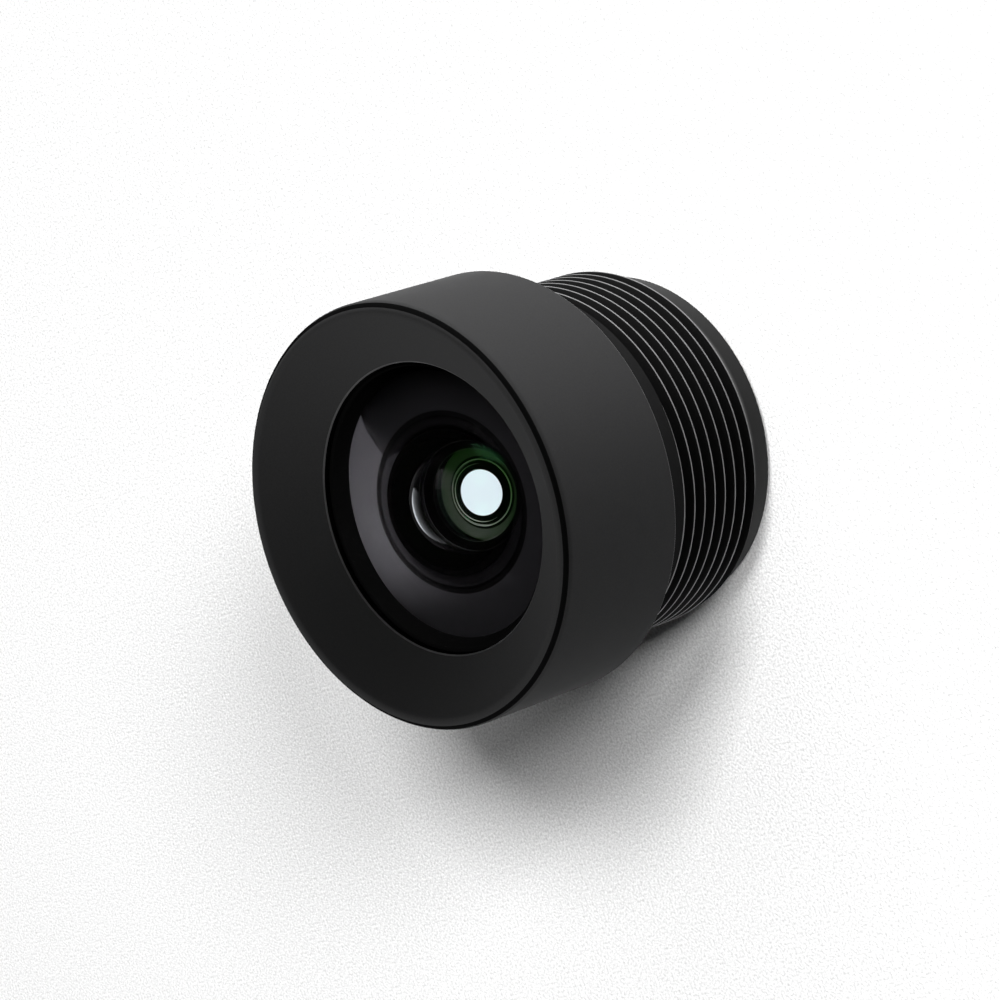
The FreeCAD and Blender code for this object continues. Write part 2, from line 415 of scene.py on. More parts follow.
green = ((0.05, 0.22, 0.09), (0.03, 0.16, 0.08))
magenta = ((0.16, 0.05, 0.10), (0.12, 0.05, 0.09))
FRONT_INDEX = 1.73
front_glass = coated_glass("front_hollow", FRONT_INDEX, (0.045, 0.03, 0.045), (0.03, 0.025, 0.035))
inner_glass = {
    "element_2": coated_glass("glass_2", 1.54, *green),
    "element_3": coated_glass("glass_3", 1.81, *green),
    "element_4": coated_glass("glass_4", 1.62, *magenta),
    "element_5": coated_glass("glass_5", 1.85, *green),
    "element_6": coated_glass("glass_6", 1.62, *green),
}
filter_glass = coated_glass("coated_filter", 1.52, (0.5, 0.1, 0.1), (0.4, 0.1, 0.1), clear=(0.88, 0.99, 1.0))
print("glasses ready:", 2 + len(inner_glass))

# %% [markdown]
# ## The outer face of the front glass
#
# The outermost face has the best coating: next to nothing is mirrored in it, even at a flat angle, where plain glass
# turns into a mirror. A tint alone doesn't reach that, because it wears off at a flat angle. So most of this face only
# bends the light, and a small share of it is the coated glass made above.

# %% The outer face
def best_coated(name, index, share):
    """Face of which only this share mirrors anything at all; the rest bends the light."""
    material = coated_glass(name, index, (0.6, 0.4, 0.6), (0.5, 0.4, 0.5))
    tree = material.node_tree
    bent = add(tree, "ShaderNodeBsdfRefraction", {"Roughness": 0.0, "IOR": index})
    coat = add(tree, "ShaderNodeMixShader", {
        0: share, 1: bent.outputs[0], 2: tree.nodes["Principled BSDF"].outputs[0]})
    fill(tree, tree.nodes["Mix Shader"], {1: coat.outputs[0]})
    return material


front_coat = best_coated("coated_front", FRONT_INDEX, 0.05)
print("made", front_coat.name)

# %% [markdown]
# ## Ink on ground glass
#
# The ground edges and the flat land at the back of the front glass are painted with black ink, and one sees it through
# the glass. The edge ink is made much darker than the land ink, as painted shade. The mirror images of the land
# inside the glass are darkened as painted shade: the ink gets darker with the number of turns that the light has
# taken, so these images die away.

# %% Ink on ground glass
FIRST_LOOK = 1.0
LAST_IMAGE = 2.6


def edge_ink(name, tone, roughness):
    """Black ink seen through the glass; in its mirror images inside the glass it is painted darker, as shade."""
    material, tree, surface = new_material(name)
    path = add(tree, "ShaderNodeLightPath", {})
    images = add(tree, "ShaderNodeMapRange", {
        "Value": path.outputs["Ray Depth"], "From Min": FIRST_LOOK, "From Max": LAST_IMAGE,
        "To Min": 1.0, "To Max": 0.0})
    streaks = grain(tree, 0.4, 2.0)
    ink = blend_colours(tree, streaks, (tone * 0.95, tone * 0.93, tone * 1.02), (tone * 1.1, tone * 1.05, tone * 1.2))
    painted_shade_ink = add(tree, "ShaderNodeMix", {0: images.outputs["Result"], 6: (0, 0, 0, 1), 7: ink}, data_type="RGBA")
    fill(tree, surface, {
        "Base Color": painted_shade_ink.outputs[2],
        "Roughness": spread(tree, streaks, roughness * 0.9, roughness * 1.1),
        "Specular IOR Level": 0.05,
    })
    return material


land_ink = edge_ink("land_ink", 0.024, 0.4)
# Painted shade: the ink on the glass edges is made far darker than the land ink, as the edges lie deep and unlit.
shaded_edge_ink = edge_ink("shaded_edge_ink", 0.0015, 0.5)
print("made", land_ink.name, shaded_edge_ink.name)

# %% [markdown]
# ## The barrel
#
# One piece of aluminium: a wide head with a cone sunk into its front, a plain neck, the outer thread, a thinner
# rear barrel, and steps inside that the glasses rest on. The sizes that the construction's boxes don't give are named
# here once, in millimetres, so that the outline below reads like a drawing.

# %% Sizes of the barrel
HEAD_LENGTH = 5.2
NECK_LENGTH = 1.45
REAR_BARREL_LENGTH = 1.25
REAR_BARREL_RADIUS = 5.55
THREAD_RADIUS = 5.975
RIM_ROUND = 0.3
CONE_DEPTH = 1.27
CONE_EDGE = 0.05
HEAD_CHAMFER = 0.12
EDGE_ROUND = 0.03
BORE_PLAY = 0.02
SEAT_GAP = 0.02
bore_radius = radius_of("element_1") + BORE_PLAY
head_rear = total_length - HEAD_LENGTH
thread_top = head_rear - NECK_LENGTH
thread_bottom = REAR_BARREL_LENGTH
print("thread from %.2f to %.2f mm" % (thread_bottom, thread_top))

# %% [markdown]
# ## The outer thread
#
# M12 x 0.5 is a fine right-hand thread, cut with a pointed tool that climbs one pitch per turn. A groove cut by a
# boolean would do it too, but slowly and with ragged faces. Here the rows of the mesh are the crests, flanks and roots
# themselves, each on its own helix. Where a helix would leave the thread it is held at the end, so the thread runs out
# cleanly, and the start of the helix is turned so that its crests lie where the photograph shows them.

# %% Outer thread
THREAD_PITCH = 0.5
THREAD_GROOVE = 0.285
THREAD_CHAMFER = 0.18
FLANK_ANGLE = math.radians(30)
CREST_WIDTH = 0.055
CREST_HEIGHT = 4.437
CREST_ANGLE = math.radians(-103.2)


def thread_rings():
    """Rows that follow the right-hand helix: five along each crest, one on each flank, four along each root."""
    around = np.linspace(0, 2 * math.pi, SEGMENTS + 1)
    flank = THREAD_GROOVE * math.tan(FLANK_ANGLE) / THREAD_PITCH
    crest = CREST_WIDTH / THREAD_PITCH
    root = 1 - crest - 2 * flank
    knots = np.array([0, 0.15 * crest, 0.5 * crest, 0.85 * crest, crest, crest + flank / 2, crest + flank,
                      crest + flank + root / 3, crest + flank + 2 * root / 3, 1 - flank, 1 - flank / 2])
    depths = np.array([0.008, 0, 0, 0, 0.008, THREAD_GROOVE / 2, THREAD_GROOVE, THREAD_GROOVE + 0.01,
                       THREAD_GROOVE + 0.01, THREAD_GROOVE, THREAD_GROOVE / 2])
    # Crest line that the photograph shows, and the first turn above the thread's upper end
    crest_line = CREST_HEIGHT + THREAD_PITCH * (around - CREST_ANGLE) / (2 * math.pi) + crest * THREAD_PITCH / 2
    lift = math.ceil((thread_top - crest_line[0]) / THREAD_PITCH)
    turns = math.ceil((thread_top - thread_bottom) / THREAD_PITCH) + 2
    phases = np.concatenate([knots + turn for turn in range(turns)])
    heights = crest_line + THREAD_PITCH * (lift - phases[:, None])
    heights = np.clip(heights, thread_bottom, thread_top)
    phase = np.mod((crest_line - heights) / THREAD_PITCH, 1.0)
    depth = np.interp(phase, np.append(knots, 1.0), np.append(depths, depths[0]))
    chamfer = THREAD_RADIUS - np.clip(thread_bottom + THREAD_CHAMFER - heights, 0, None)
    return np.minimum(THREAD_RADIUS - depth, chamfer), heights


print("thread has", len(thread_rings()[0]), "rows")

# %% [markdown]
# ## Which finish goes where on the barrel
#
# The real barrel has one coat. The head keeps it here, and the other rows get painted light: the bore, the lines
# round the rim and under the head, the thread's flanks and roots, the neck and the rear barrel are painted darker as
# shade, and thin edges, the crests and the front of the rear barrel are painted pale as highlights. Each row of faces
# gets its finish by where it lies, so the border between two finishes always follows an edge of the piece.

# %% Finishes of the barrel
HEAD_COAT, FLANK_SHADE, DEEP_SHADE, CREST_HIGHLIGHT, EDGE_HIGHLIGHT, COLLAR_HIGHLIGHT, PAINTED_SHADE = range(7)
barrel_finishes = (barrel_black, thread_shade_black, deep_shade_black, crest_painted_highlight, edge_painted_highlight, collar_painted_highlight, painted_shade_black)


def head_skin(radius, height):
    """Painted shade in the bore and as dark lines round the rim and under the head, painted highlights as thin pale
    edges at the mouth and behind the head, a darker painted shade on the neck, and the blasted coat everywhere else."""
    # Painted shade in the bore of the head.
    if radius < bore_radius + 0.2 * CONE_EDGE:
        return DEEP_SHADE
    # Painted highlight: a pale line on the mouth of the cone.
    if radius < bore_radius + 1.1 * CONE_EDGE:
        return EDGE_HIGHLIGHT
    # Painted shade: a dark line round the rim, on the front of its round.
    if head_radius - 0.17 < radius < head_radius - 0.04 and height > total_length - 0.26:
        return DEEP_SHADE
    # Painted highlight: a pale line on the rear edge of the head.
    if radius > head_radius - 0.14 and height < head_rear + 0.13:
        return EDGE_HIGHLIGHT
    # Painted shadow: a dark line on the rear of the head and on the neck just under it.
    if radius < head_radius - 0.2 and head_rear - 0.16 < height < head_rear + 0.01:
        return DEEP_SHADE
    # Painted shade: the neck is darker than the head.
    if height < head_rear:
        return PAINTED_SHADE
    return HEAD_COAT


def thread_skins(rows):
    """Painted highlights on the crests, painted shade on the flanks and roots."""
    one_turn = [CREST_HIGHLIGHT] * 4 + [FLANK_SHADE] * 7
    return [one_turn[row % len(one_turn)] for row in range(rows)]


print("finishes on the barrel:", len(barrel_finishes))

# %% [markdown]
# ## The outside of the head
#
# The front of the head is a shallow cone that slopes down to the glass, and its rim is round. The cone leans so that
# it runs smoothly into that round. Then come the straight side, a small chamfer, the flat rear of the head and the
# neck, in the order in which a tool would pass over them.

# %% Outside of the head
def head_outline():
    mouth = bore_radius + CONE_EDGE
    mouth_height = total_length - CONE_DEPTH
    round_centre = head_radius - RIM_ROUND
    run, rise = round_centre - bore_radius, CONE_DEPTH - RIM_ROUND
    lean = math.atan2(rise, run) + math.asin(RIM_ROUND / math.hypot(run, rise))
    spokes = np.linspace(-lean, math.pi / 2, 16)
    rim = [(round_centre + RIM_ROUND * math.sin(spoke), total_length - RIM_ROUND * (1 - math.cos(spoke)))
           for spoke in spokes]
    return rounded([
        (bore_radius, rear_of("element_1") - SEAT_GAP), (bore_radius, mouth_height - CONE_EDGE, 0.02),
        (mouth, mouth_height, 0.02), *rim,
        (head_radius, head_rear + HEAD_CHAMFER, EDGE_ROUND), (head_radius - HEAD_CHAMFER, head_rear, EDGE_ROUND),
        (THREAD_RADIUS, head_rear, EDGE_ROUND), (THREAD_RADIUS, head_rear - 0.15), (THREAD_RADIUS, thread_top)], 8)


print("head outline has", len(head_outline()), "places")

# %% [markdown]
# ## The rear barrel and the bore
#
# Behind the thread the barrel is thinner. Its end face is open for the filter, and a lip in front of the filter carries
# the whole stack of glasses. The bore then steps up to the front stack, and a groove round the last step holds the
# seal. The outline goes round the end and up the bore, back to where the head's outline began.

# %% Rear barrel and bore
REAR_CHAMFER = 0.25
REAR_OPENING = 3.57
LIP_RADIUS = 2.1
LIP_HEIGHT = 0.8
SEAL_GROOVE_WIDTH = 0.45
SEAL_GROOVE_DEPTH = 0.4
SEAL_PLAY = 0.04


def bore_outline():
    filter_seat = front_of("ir_cut_filter")
    lip_top = filter_seat + LIP_HEIGHT
    stack_step = rear_of("aperture_stop") - SEAT_GAP
    land = rear_of("element_1")
    step = land - SEAT_GAP
    groove_floor = land - SEAL_GROOVE_DEPTH
    seal_radius = radius_of("front_o_ring")
    groove_in, groove_out = seal_radius - SEAL_GROOVE_WIDTH, seal_radius + SEAL_PLAY
    rear_bore, front_bore = rear_stack_radius + BORE_PLAY, front_stack_radius + BORE_PLAY
    return rounded([
        (REAR_BARREL_RADIUS, thread_bottom), (REAR_BARREL_RADIUS, thread_bottom - 0.45),
        (REAR_BARREL_RADIUS, REAR_CHAMFER, 0.04), (REAR_BARREL_RADIUS - REAR_CHAMFER, 0, EDGE_ROUND),
        (REAR_OPENING, 0, EDGE_ROUND), (REAR_OPENING, filter_seat), (LIP_RADIUS, filter_seat, EDGE_ROUND),
        (LIP_RADIUS, lip_top, EDGE_ROUND), (rear_bore, lip_top), (rear_bore, stack_step, 0.02),
        (front_bore, stack_step), (front_bore, step, 0.02),
        (groove_in, step), (groove_in, groove_floor), (groove_out, groove_floor), (groove_out, step),
        (bore_radius, step)], 4)


print("bore outline has", len(bore_outline()), "places")

# %% [markdown]
# ## The whole barrel
#
# A real barrel is turned outside, threaded and then bored, all from one rod. So it stays one mesh here as well: the
# rows of the head, of the thread and of the bore are laid one after another, and the ends meet in the bore.

# %% Whole barrel
COLLAR_ROWS = 2
REAR_ROWS = 12


def barrel():
    above, below = head_outline(), bore_outline()
    upper, thread, lower = rings(above), thread_rings(), rings(below)
    radii, heights = [np.vstack(parts) for parts in zip(upper, thread, lower)]
    head_skins = [head_skin(*np.mean(pair, axis=0)) for pair in zip(above, above[1:])]
    # The front rows of the rear barrel get the fading painted highlight, the others painted shade.
    rear_skins = [COLLAR_HIGHLIGHT] * COLLAR_ROWS + [PAINTED_SHADE] * (REAR_ROWS - COLLAR_ROWS)
    # Painted shade along the whole bore.
    bore_skins = [DEEP_SHADE] * (len(below) - 1 - REAR_ROWS)
    skins = head_skins + [FLANK_SHADE] + thread_skins(len(thread[0])) + rear_skins + bore_skins
    made = skin("barrel", radii, heights, skins)
    return fit_in(made, "lens_barrel", "barrel_black", *barrel_finishes)


turned_barrel = barrel()

# %% [markdown]
# ## The ring over the front glass
#
# A narrow threaded ring screws into the head and holds the front glass down by its rim. Its front has a narrow flat
# and slopes down from there to a thin inner edge. Its hidden rear face is hollowed to the curve of the glass, a hair
# away from it, so that the two never cut into each other.

# %% Front ring
FRONT_CURVE = 6.5
FRONT_RING_WIDTH = 0.36
FRONT_RING_FLAT = 0.13


def front_ring():
    outer, front, bottom = radius_of("front_retaining_ring"), front_of("front_retaining_ring"), rear_of("element_1")
    inner = outer - FRONT_RING_WIDTH
    ball = FRONT_CURVE + SEAT_GAP
    centre = front_of("element_1") - FRONT_CURVE
    angles = np.linspace(math.asin(inner / ball), math.asin((outer - 0.005) / ball), 8)
    under = [(ball * math.sin(angle), centre + ball * math.cos(angle)) for angle in angles]
    outline = under + rounded([under[-1], (outer, under[-1][1]), (outer, front, 0.015),
                               (outer - FRONT_RING_FLAT, front, EDGE_ROUND), under[0]], 4)
    return fit_in(turned("front_ring", outline), "front_retaining_ring", "ring_black", ring_black)


front_ring()

# %% [markdown]
# ## The seal
#
# A rubber ring under the rim of the front glass keeps dust and water out. A torus would do, but it is turned like the
# rest, with a round section, and a thin film of air is left above and below it so that no two surfaces fall together.

# %% Seal
SEAT_AIR = 0.002


def seal():
    top, bottom, outer = front_of("front_o_ring"), rear_of("front_o_ring"), radius_of("front_o_ring")
    half = (top - bottom) / 2 - SEAT_AIR
    # The plain piece has six flats with one corner outwards, so its radius is larger than that of the round section.
    centre = outer - half * 2 / math.sqrt(3)
    angles = np.linspace(0, 2 * math.pi, 25)
    outline = [(centre + half * math.cos(angle), (top + bottom) / 2 + half * math.sin(angle)) for angle in angles]
    return fit_in(turned("front_seal", outline), "front_o_ring", "seal_black", seal_black)


seal()

# %% [markdown]
# ## The light stop and the grooved ring
#
# The ring between the second and the third glass has grooves in its bore, which trap light that would graze it. The
# light stop narrows in steps to a thin edge round the light hole. The edges of its steps are painted pale as a
# highlight, and they show as faint circles round the hole. Both are turned, and the rows with the painted highlight get
# the paler finish.

# %% Grooved ring and light stop
GROOVE_BORE = 2.05
GROOVE_DEPTH = 0.25
GROOVES = 4
STOP_EDGE = 0.04
# Rows of the light stop that get the pale painted highlight.
HIGHLIGHT_ROWS = (3, 5, 7, 8, 10, 11)


def grooved_ring():
    outer = radius_of("grooved_spacer")
    top, bottom = front_of("grooved_spacer") - SEAT_AIR, rear_of("grooved_spacer") + SEAT_AIR
    pitch = (top - bottom) / GROOVES
    outline = [(outer, top), (outer, bottom), (GROOVE_BORE, bottom)]
    for turn in range(GROOVES):
        outline += [(GROOVE_BORE + GROOVE_DEPTH, bottom + (turn + 0.5) * pitch),
                    (GROOVE_BORE, bottom + (turn + 1) * pitch)]
    outline.append((outer, top))
    return fit_in(turned("grooved_ring", outline), "grooved_spacer", "ring_black", groove_black)


def light_stop():
    """Turned ring that narrows to a thin edge round the light hole."""
    outer = radius_of("aperture_stop")
    top, bottom = front_of("aperture_stop") - SEAT_AIR, rear_of("aperture_stop") + SEAT_AIR
    edge = bottom + STOP_EDGE
    step = edge + (top - bottom - STOP_EDGE) / 2
    outline = [(2.5, bottom), (1.0, bottom), (1.0, edge), (1.3, edge), (1.34, step), (1.53, step), (1.57, top),
               (1.62, top), (1.66, top - 0.02), (1.7, top), (1.95, top), (1.98, top - 0.02), (2.01, top),
               (outer, top), (outer, bottom), (2.5, bottom)]
    skins = [int(row in HIGHLIGHT_ROWS) for row in range(len(outline) - 1)]
    return fit_in(turned("light_stop", outline, skins), "aperture_stop", "ring_black", ring_black, step_painted_highlight)


print("grooves in the spacer:", GROOVES)

# %% [markdown]
# ## Washers and films
#
# Plain washers set the air between the glasses, and two thin black films cut the light that strays past the curved
# faces. All are the same turned section with other sizes, so one helper makes them. They are made from the front to
# the rear, and the grooved ring and the light stop take their places between them.

# %% Washers and films
def washer(name, piece, bore, slot, material):
    """Plain ring; a film of air keeps its faces apart from the glass that they bear on."""
    outer, top, bottom = radius_of(piece), front_of(piece) - SEAT_AIR, rear_of(piece) + SEAT_AIR
    edge = min(0.02, (top - bottom) / 4)
    middle = (bore + outer) / 2
    outline = rounded([(middle, bottom), (bore, bottom, edge), (bore, top, edge), (outer, top, edge),
                       (outer, bottom, edge), (middle, bottom)], 2)
    return fit_in(turned(name, outline), piece, slot, material)


washer("first_spacer", "front_spacer", 2.55, "ring_black", ring_black)
washer("first_film", "front_light_shield", 2.37, "film_black", film_black)
inner_rings = [grooved_ring(), light_stop()]
washer("spacer_behind_stop", "stop_spacer", 2.0, "ring_black", ring_black)
washer("thin_shim", "shim_ring", 2.0, "ring_black", ring_black)
washer("rear_film", "rear_light_shield", 2.0, "film_black", film_black)
washer("last_spacer", "rear_spacer", 2.1, "ring_black", ring_black)

# %% [markdown]
# ## How a glass is made
#
# A glass is a disc with one ground curve on each face. The outline runs from the axis along the front curve, down
# the edge, and back along the rear curve. Faces that light goes through get glass, and the edge and the flat lands
# get ink. A sphere cut by booleans would give the same form, but a turned outline keeps the curves smooth, which
# matters because every bent ray shows a flaw.

# %% Helpers for the glasses
GLASS_BEVEL = 0.04


def sag(curve, half_width):
    """Height of a spherical cap with this surface radius over this half width."""
    return curve - math.sqrt(curve * curve - half_width * half_width)


def lens_face(vertex, curve, half_width, way, steps=40):
    """Places along a spherical face from the axis to its edge; way is -1 where the edge is lower than the vertex."""
    end = math.asin(half_width / curve)
    angles = [end * step / steps for step in range(steps + 1)]
    return [(curve * math.sin(angle), vertex + way * curve * (1 - math.cos(angle))) for angle in angles]


def flat(height, half_width):
    return [(0, height), (half_width, height)]


def glass(name, piece, front, rear, edge, material, slot="inner_glass"):
    """Glass between two runs of places that both start at the axis; the edge joins their ends."""
    (front_radius, front_height), (rear_radius, rear_height) = front[-1], rear[-1]
    wall = [(edge - GLASS_BEVEL, front_height), (edge, front_height - GLASS_BEVEL),
            (edge, rear_height + GLASS_BEVEL), (edge - GLASS_BEVEL, rear_height)]
    rim = [place for place in wall if front_radius < edge - GLASS_BEVEL or place[1] < front_height]
    outline = front + rim + rear[::-1]
    skins = [0] * (len(front) - 1) + [1] * (len(rim) + 1) + [0] * (len(rear) - 1)
    return fit_in(turned(name, outline, skins), piece, slot, material, shaded_edge_ink)


print("a ground face has", len(lens_face(0, 5, 2, -1)), "places")

# %% [markdown]
# ## The front glass
#
# The big meniscus stands out in the sunk cone and has a deep hollow at its back. The flat land round the hollow
# carries ink that is seen through the glass, with a black line close to the hollow's mouth. So this glass has four
# finishes: the best coating outside, ink on the land, black ink on the edge that is painted darker as shade, and common
# coating in the hollow.

# %% Front glass
MOUTH_RADIUS = 2.27
MOUTH_LINE = 0.13
HOLLOW_DEPTH = 1.74
OUTER_FACE, LAND, BLACK, HOLLOW = range(4)


def front_element():
    top, land, edge = front_of("element_1"), rear_of("element_1"), radius_of("element_1")
    crown = edge - 0.12
    front = lens_face(top, FRONT_CURVE, crown, -1, 90)
    front.append((edge, front[-1][1] - 0.24))
    hollow = (MOUTH_RADIUS ** 2 + HOLLOW_DEPTH ** 2) / (2 * HOLLOW_DEPTH)
    rear = lens_face(land + HOLLOW_DEPTH, hollow, MOUTH_RADIUS, -1, 70)
    outline = front + [(edge, land), (MOUTH_RADIUS + MOUTH_LINE, land)] + rear[::-1]
    skins = [OUTER_FACE] * (len(front) - 2) + [BLACK, BLACK, LAND, BLACK] + [HOLLOW] * (len(rear) - 1)
    return fit_in(turned("front_element", outline, skins), "element_1", "front_glass", front_coat, land_ink,
                  shaded_edge_ink, front_glass)


big_glass = front_element()

# %% [markdown]
# ## The glasses behind it
#
# Two glasses stand in front of the light stop and three behind it, and a flat filter closes the lens. Their curves
# are guessed after common lenses of this size: they bend the light so that the light hole shows about where the
# photograph has it. Each call gives the piece, its front face, its rear face and the radius of its edge.

# %% Inner glasses and filter
top, bottom = front_of("element_2"), rear_of("element_2")
hollow = lens_face(bottom + sag(5.25, 2.1), 5.25, 2.1, -1)
glass("second_element", "element_2", flat(top, 2.5), hollow, front_stack_radius, inner_glass["element_2"])

top, bottom = front_of("element_3"), rear_of("element_3")
glass("third_element", "element_3", lens_face(top, 2.9, 1.95, -1), flat(bottom, 2.0), front_stack_radius,
      inner_glass["element_3"])

top, bottom = front_of("element_4"), rear_of("element_4")
glass("fourth_element", "element_4", lens_face(top, 14.0, 1.9, -1), lens_face(bottom, 9.0, 1.9, 1),
      rear_stack_radius, inner_glass["element_4"])

top, bottom = front_of("element_5"), rear_of("element_5")
hollow = lens_face(top - sag(3.2, 1.75), 3.2, 1.75, 1)
glass("fifth_element", "element_5", hollow, lens_face(bottom, 6.5, 1.9, 1), rear_stack_radius,
      inner_glass["element_5"])

top, bottom = front_of("element_6"), rear_of("element_6")
glass("last_element", "element_6", lens_face(top, 5.2, 2.0, -1), lens_face(bottom, 5.6, 2.0, 1),
      rear_stack_radius, inner_glass["element_6"])

top, bottom = front_of("ir_cut_filter"), rear_of("ir_cut_filter")
glass("infrared_filter", "ir_cut_filter", flat(top, 2.5), flat(bottom, 2.5), radius_of("ir_cut_filter"),
      filter_glass, "filter_glass")

# %% [markdown]
# ## The ring at the rear
#
# A threaded ring holds the filter window. It is screwed in with a pin spanner, so it has two slots across its face.
# It is turned first, and then the slots are milled, here as on the real ring: a plain block is taken away from it.

# %% Rear ring
REAR_RING_BORE = 2.8
REAR_RING_CHAMFER = 0.15
SLOT_WIDTH = 0.8
SLOT_DEPTH = 0.35


def mill_slots(made, reach, height):
    """Takes a block through the axis away from a ring; the block is centred on this height."""
    cutter_mesh = bpy.data.meshes.new("slot_cutter")
    work = bmesh.new()
    bmesh.ops.create_cube(work, size=1.0)
    bmesh.ops.scale(work, verts=work.verts, vec=(2 * reach * MM, SLOT_WIDTH * MM, 2 * SLOT_DEPTH * MM))
    bmesh.ops.translate(work, verts=work.verts, vec=(0, 0, height * MM))
    work.to_mesh(cutter_mesh)
    work.free()
    cutter = bpy.data.objects.new("slot_cutter", cutter_mesh)
    scene.collection.objects.link(cutter)
    milling = made.modifiers.new("slots", "BOOLEAN")
    milling.operation = "DIFFERENCE"
    milling.object = cutter
    bpy.context.view_layer.update()
    milled = bpy.data.meshes.new_from_object(made.evaluated_get(bpy.context.evaluated_depsgraph_get()))
    made.modifiers.clear()
    made.data = milled
    made.data.set_sharp_from_angle(angle=SHARP_FROM)
    bpy.data.objects.remove(cutter)


def rear_ring():
    outer, top, bottom = (radius_of("rear_retaining_ring"), front_of("rear_retaining_ring"),
                          rear_of("rear_retaining_ring"))
    middle = (REAR_RING_BORE + outer) / 2
    outline = rounded([(middle, top), (REAR_RING_BORE, top, 0.02),
                       (REAR_RING_BORE, bottom + REAR_RING_CHAMFER, EDGE_ROUND),
                       (REAR_RING_BORE + REAR_RING_CHAMFER, bottom, EDGE_ROUND),
                       (outer, bottom, 0.02), (outer, top, 0.02), (middle, top)], 3)
    made = turned("rear_ring", outline)
    mill_slots(made, 1.1 * outer, bottom)
    return fit_in(made, "rear_retaining_ring", "ring_black", ring_black)


rear_ring()

# %% [markdown]
# ## The table
#
# The lens stands on a pale sheet with a fine, rough grain. One sees it through the lens as well: the bright disc in
# the middle is the sheet under it. In the shade of the barrel that disc would be grey, so the sheet answers rays that
# came through glass with plain white, as the bright surroundings do on the real lens.

# %% Table
TABLE_HALF = 1.5
PAPER_GRAIN = 0.09
PAPER_RELIEF = 0.03


def table_material():
    material, tree, surface = new_material("pale_sheet")
    fine = grain(tree, PAPER_GRAIN, 8.0)
    speckle = spread(tree, fine, 0.0, 1.0)
    fill(tree, surface, {
        "Base Color": blend_colours(tree, speckle, (0.62, 0.62, 0.62), (0.95, 0.95, 0.95)),
        "Roughness": 0.9, "Specular IOR Level": 0.1, "Normal": bump(tree, fine, PAPER_RELIEF)})
    path = add(tree, "ShaderNodeLightPath", {})
    white = add(tree, "ShaderNodeEmission", {"Color": (0.93, 1.0, 1.0, 1), "Strength": 1.0})
    mixed = add(tree, "ShaderNodeMixShader", {
        0: path.outputs["Is Transmission Ray"], 1: surface.outputs[0], 2: white.outputs[0]})
    fill(tree, tree.nodes["Material Output"], {"Surface": mixed.outputs[0]})
    return material


def table():
    mesh = bpy.data.meshes.new("table")
    corners = [(-TABLE_HALF, -TABLE_HALF, 0), (TABLE_HALF, -TABLE_HALF, 0), (TABLE_HALF, TABLE_HALF, 0),
               (-TABLE_HALF, TABLE_HALF, 0)]
    mesh.from_pydata(corners, [], [(0, 1, 2, 3)])
    made = bpy.data.objects.new("table", mesh)
    scene.collection.objects.link(made)
    mesh.materials.append(table_material())
    return made


sheet = table()
print("made", sheet.name)

# %% [markdown]
# ## The card behind the lens
#
# The hollow of the front glass shows a bright crescent, as a pale wall or card behind the object would make it. Such a
# card stands in many small studios. This one is left out of everything but the light that comes through glass, so
# that it changes neither the table nor the black metal, and it gets darker upwards, which makes the crescent fade out.

# %% Pale card
def pale_card(name, place, size, strength):
    """Bright card behind the lens that only shows in the light bent by the glasses; it darkens upwards."""
    mesh = bpy.data.meshes.new(name)
    across, high = size[0] / 2, size[1] / 2
    mesh.from_pydata([(-across, 0, -high), (across, 0, -high), (across, 0, high), (-across, 0, high)], [],
                     [(0, 1, 2, 3)])
    card = bpy.data.objects.new(name, mesh)
    card.location = place
    scene.collection.objects.link(card)
    material, tree, surface = new_material(name)
    spot = add(tree, "ShaderNodeTexCoord", {})
    parts = add(tree, "ShaderNodeSeparateXYZ", {"Vector": spot.outputs["Object"]})
    fall = add(tree, "ShaderNodeMapRange", {
        "Value": parts.outputs["Z"], "From Min": -high, "From Max": high,
        "To Min": strength, "To Max": 0.1 * strength})
    fill(tree, surface, {
        "Base Color": (0, 0, 0, 1), "Emission Color": (0.9, 0.95, 1.0, 1),
        "Emission Strength": fall.outputs["Result"]})
    mesh.materials.append(material)
    card.visible_camera = card.visible_diffuse = card.visible_glossy = card.visible_shadow = False
    return card


card = pale_card("pale_card", (-0.03, 0.06, 0.026), (0.14, 0.05), 0.9)
print("made", card.name)

# %% [markdown]
# ## Soft lamps
#
# Soft boxes light the object in a studio, and flags keep the light of one box off what another box lights. A flag is
# hard to place round so small an object, so light linking does its work: each lamp gets a list of the pieces that it
# lights.

# %% Helpers for the lamps
def soft_lamp(name, direction, distance, size, power, along=(0, 0, 1)):
    """Soft lamp that looks at the lens; direction points from the lens to the lamp, its long side runs along."""
    data = bpy.data.lights.new(name, "AREA")
    data.shape = "RECTANGLE"
    data.size, data.size_y = size
    data.energy = power
    lamp = bpy.data.objects.new(name, data)
    scene.collection.objects.link(lamp)
    way = Vector(direction).normalized()
    side = (Vector(along) - way * way.dot(Vector(along))).normalized()
    turn = Matrix((side, way.cross(side), way)).transposed()
    lamp.matrix_world = Matrix.LocRotScale(way * distance, turn, None)
    lamp.visible_glossy = False
    return lamp


def lights_only(lamp, pieces):
    """Keeps a lamp for a few pieces, as a flag with a small hole does in a studio."""
    lit = bpy.data.collections.new(lamp.name + "_lights")
    for piece in pieces:
        lit.objects.link(piece)
    lamp.light_linking.receiver_collection = lit


not_the_barrel = [thing for thing in scene.objects if thing.type == "MESH" and thing is not turned_barrel]
outside = [thing for thing in not_the_barrel if thing not in (big_glass, *inner_rings)]
print("meshes on the list of the table lamps:", len(outside))

